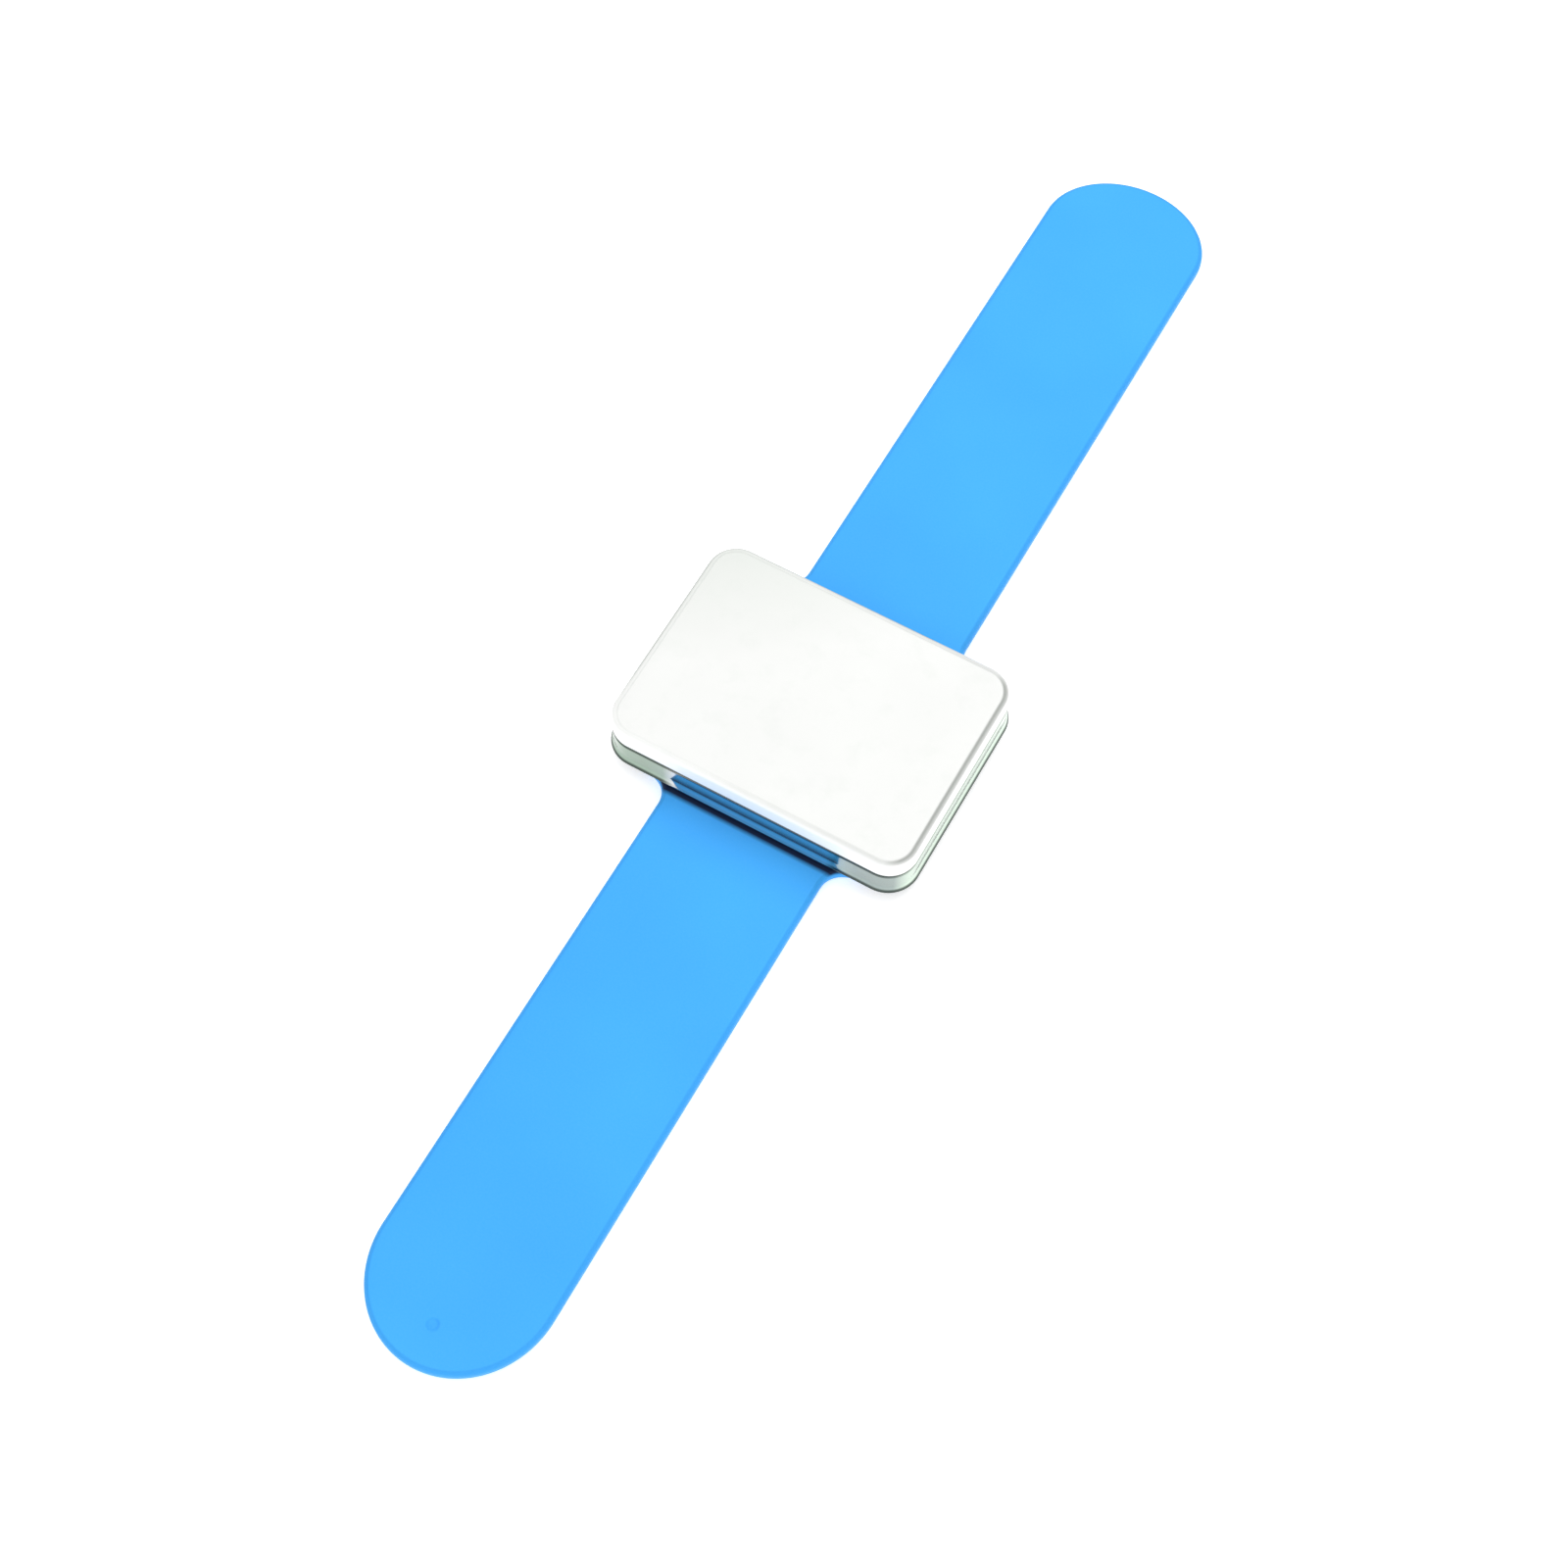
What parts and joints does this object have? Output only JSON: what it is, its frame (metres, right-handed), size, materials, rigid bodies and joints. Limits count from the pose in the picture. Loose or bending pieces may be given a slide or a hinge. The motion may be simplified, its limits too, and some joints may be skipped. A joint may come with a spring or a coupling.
{
  "type": "wrist pin holder",
  "caption": "Magnetic wrist pin holder: flat-topped rounded metal case on a silicone slap band with rounded ends that curls round the wrist.",
  "frame": {"origin": "middle of the case's footprint, on the band's wrist side", "axes": "+Z out of the wrist through the case's flat top, +Y along the band towards its longer rear arm, +X along the case's long side"},
  "size_m": [0.056, 0.248, 0.012],
  "materials": {
    "silicone": "matte moulded silicone",
    "lid_metal": "fine satin panel with bright rolled edges",
    "case_metal": "bright pressed tin plate",
    "spring_steel": "rolled blue-grey spring steel",
    "ferrite": "sintered dark grey",
    "foam": "open-cell foam",
    "adhesive": "foam-backed adhesive"
  },
  "bodies": {
    "centre": {"sleeve_centre": "silicone", "strip_centre": "spring_steel", "case_base": "case_metal", "case_lid": "lid_metal", "foam_spacer": "foam", "magnet_left": "ferrite", "magnet_right": "ferrite", "adhesive_pad": "adhesive"},
    "front_01": {"sleeve_front_01": "silicone", "strip_front_01": "spring_steel"},
    "front_02": {"sleeve_front_02": "silicone", "strip_front_02": "spring_steel"},
    "front_03": {"sleeve_front_03": "silicone", "strip_front_03": "spring_steel"},
    "front_04": {"sleeve_front_04": "silicone", "strip_front_04": "spring_steel"},
    "front_05": {"sleeve_front_05": "silicone", "strip_front_05": "spring_steel"},
    "front_06": {"sleeve_front_06": "silicone", "strip_front_06": "spring_steel"},
    "front_07": {"sleeve_front_07": "silicone", "strip_front_07": "spring_steel"},
    "front_08": {"sleeve_front_08": "silicone", "strip_front_08": "spring_steel"},
    "front_09": {"sleeve_front_09": "silicone", "strip_front_09": "spring_steel"},
    "front_10": {"sleeve_front_10": "silicone", "strip_front_10": "spring_steel"},
    "front_tip": {"sleeve_front_tip": "silicone", "strip_front_tip": "spring_steel"},
    "rear_01": {"sleeve_rear_01": "silicone", "strip_rear_01": "spring_steel"},
    "rear_02": {"sleeve_rear_02": "silicone", "strip_rear_02": "spring_steel"},
    "rear_03": {"sleeve_rear_03": "silicone", "strip_rear_03": "spring_steel"},
    "rear_04": {"sleeve_rear_04": "silicone", "strip_rear_04": "spring_steel"},
    "rear_05": {"sleeve_rear_05": "silicone", "strip_rear_05": "spring_steel"},
    "rear_06": {"sleeve_rear_06": "silicone", "strip_rear_06": "spring_steel"},
    "rear_07": {"sleeve_rear_07": "silicone", "strip_rear_07": "spring_steel"},
    "rear_08": {"sleeve_rear_08": "silicone", "strip_rear_08": "spring_steel"},
    "rear_09": {"sleeve_rear_09": "silicone", "strip_rear_09": "spring_steel"},
    "rear_10": {"sleeve_rear_10": "silicone", "strip_rear_10": "spring_steel"},
    "rear_11": {"sleeve_rear_11": "silicone", "strip_rear_11": "spring_steel"},
    "rear_tip": {"sleeve_rear_tip": "silicone", "strip_rear_tip": "spring_steel"}
  },
  "joints": [
    {"name": "front_curl", "type": "hinge", "parent": "centre", "child": "front_01", "pos_m": [0, -0.0215, 0.00115], "axis": [1, 0, 0], "range_deg": [0, 26]},
    {"name": "front_curl_02", "type": "hinge", "parent": "front_01", "child": "front_02", "pos_m": [0, -0.0295, 0.00115], "axis": [1, 0, 0], "range_deg": [0, 31.2]},
    {"name": "front_curl_03", "type": "hinge", "parent": "front_02", "child": "front_03", "pos_m": [0, -0.0375, 0.00115], "axis": [1, 0, 0], "range_deg": [0, 26.4]},
    {"name": "front_curl_04", "type": "hinge", "parent": "front_03", "child": "front_04", "pos_m": [0, -0.0455, 0.00115], "axis": [1, 0, 0], "range_deg": [0, 21.6]},
    {"name": "front_curl_05", "type": "hinge", "parent": "front_04", "child": "front_05", "pos_m": [0, -0.0535, 0.00115], "axis": [1, 0, 0], "range_deg": [0, 20.4]},
    {"name": "front_curl_06", "type": "hinge", "parent": "front_05", "child": "front_06", "pos_m": [0, -0.0615, 0.00115], "axis": [1, 0, 0], "range_deg": [0, 21.6]},
    {"name": "front_curl_07", "type": "hinge", "parent": "front_06", "child": "front_07", "pos_m": [0, -0.0695, 0.00115], "axis": [1, 0, 0], "range_deg": [0, 20.4]},
    {"name": "front_curl_08", "type": "hinge", "parent": "front_07", "child": "front_08", "pos_m": [0, -0.0775, 0.00115], "axis": [1, 0, 0], "range_deg": [0, 18]},
    {"name": "front_curl_09", "type": "hinge", "parent": "front_08", "child": "front_09", "pos_m": [0, -0.0855, 0.00115], "axis": [1, 0, 0], "range_deg": [0, 14.4]},
    {"name": "front_curl_10", "type": "hinge", "parent": "front_09", "child": "front_10", "pos_m": [0, -0.0935, 0.00115], "axis": [1, 0, 0], "range_deg": [0, 12]},
    {"name": "front_curl_11", "type": "hinge", "parent": "front_10", "child": "front_tip", "pos_m": [0, -0.1015, 0.00115], "axis": [1, 0, 0], "range_deg": [0, 10.8]},
    {"name": "rear_curl", "type": "hinge", "parent": "centre", "child": "rear_01", "pos_m": [0, 0.0215, 0.00115], "axis": [-1, 0, 0], "range_deg": [0, 26]},
    {"name": "rear_curl_02", "type": "hinge", "parent": "rear_01", "child": "rear_02", "pos_m": [0, 0.0295, 0.00115], "axis": [-1, 0, 0], "range_deg": [0, 30]},
    {"name": "rear_curl_03", "type": "hinge", "parent": "rear_02", "child": "rear_03", "pos_m": [0, 0.0375, 0.00115], "axis": [-1, 0, 0], "range_deg": [0, 22.8]},
    {"name": "rear_curl_04", "type": "hinge", "parent": "rear_03", "child": "rear_04", "pos_m": [0, 0.0455, 0.00115], "axis": [-1, 0, 0], "range_deg": [0, 16.8]},
    {"name": "rear_curl_05", "type": "hinge", "parent": "rear_04", "child": "rear_05", "pos_m": [0, 0.0535, 0.00115], "axis": [-1, 0, 0], "range_deg": [0, 16.8]},
    {"name": "rear_curl_06", "type": "hinge", "parent": "rear_05", "child": "rear_06", "pos_m": [0, 0.0615, 0.00115], "axis": [-1, 0, 0], "range_deg": [0, 20.4]},
    {"name": "rear_curl_07", "type": "hinge", "parent": "rear_06", "child": "rear_07", "pos_m": [0, 0.0695, 0.00115], "axis": [-1, 0, 0], "range_deg": [0, 22.8]},
    {"name": "rear_curl_08", "type": "hinge", "parent": "rear_07", "child": "rear_08", "pos_m": [0, 0.0775, 0.00115], "axis": [-1, 0, 0], "range_deg": [0, 20.4]},
    {"name": "rear_curl_09", "type": "hinge", "parent": "rear_08", "child": "rear_09", "pos_m": [0, 0.0855, 0.00115], "axis": [-1, 0, 0], "range_deg": [0, 16.8]},
    {"name": "rear_curl_10", "type": "hinge", "parent": "rear_09", "child": "rear_10", "pos_m": [0, 0.0935, 0.00115], "axis": [-1, 0, 0], "range_deg": [0, 12]},
    {"name": "rear_curl_11", "type": "hinge", "parent": "rear_10", "child": "rear_11", "pos_m": [0, 0.1015, 0.00115], "axis": [-1, 0, 0], "range_deg": [0, 9.6]},
    {"name": "rear_curl_12", "type": "hinge", "parent": "rear_11", "child": "rear_tip", "pos_m": [0, 0.1095, 0.00115], "axis": [-1, 0, 0], "range_deg": [0, 9.6]}
  ],
  "couplings": [
    {"joint": "front_curl_02", "follows": "front_curl", "ratio": 1},
    {"joint": "front_curl_03", "follows": "front_curl", "ratio": 0.84615},
    {"joint": "front_curl_04", "follows": "front_curl", "ratio": 0.69231},
    {"joint": "front_curl_05", "follows": "front_curl", "ratio": 0.65385},
    {"joint": "front_curl_06", "follows": "front_curl", "ratio": 0.69231},
    {"joint": "front_curl_07", "follows": "front_curl", "ratio": 0.65385},
    {"joint": "front_curl_08", "follows": "front_curl", "ratio": 0.57692},
    {"joint": "front_curl_09", "follows": "front_curl", "ratio": 0.46154},
    {"joint": "front_curl_10", "follows": "front_curl", "ratio": 0.38461},
    {"joint": "front_curl_11", "follows": "front_curl", "ratio": 0.34615},
    {"joint": "rear_curl_02", "follows": "rear_curl", "ratio": 0.96154},
    {"joint": "rear_curl_03", "follows": "rear_curl", "ratio": 0.73077},
    {"joint": "rear_curl_04", "follows": "rear_curl", "ratio": 0.53846},
    {"joint": "rear_curl_05", "follows": "rear_curl", "ratio": 0.53846},
    {"joint": "rear_curl_06", "follows": "rear_curl", "ratio": 0.65385},
    {"joint": "rear_curl_07", "follows": "rear_curl", "ratio": 0.73077},
    {"joint": "rear_curl_08", "follows": "rear_curl", "ratio": 0.65385},
    {"joint": "rear_curl_09", "follows": "rear_curl", "ratio": 0.53846},
    {"joint": "rear_curl_10", "follows": "rear_curl", "ratio": 0.38461},
    {"joint": "rear_curl_11", "follows": "rear_curl", "ratio": 0.30769},
    {"joint": "rear_curl_12", "follows": "rear_curl", "ratio": 0.30769}
  ]
}
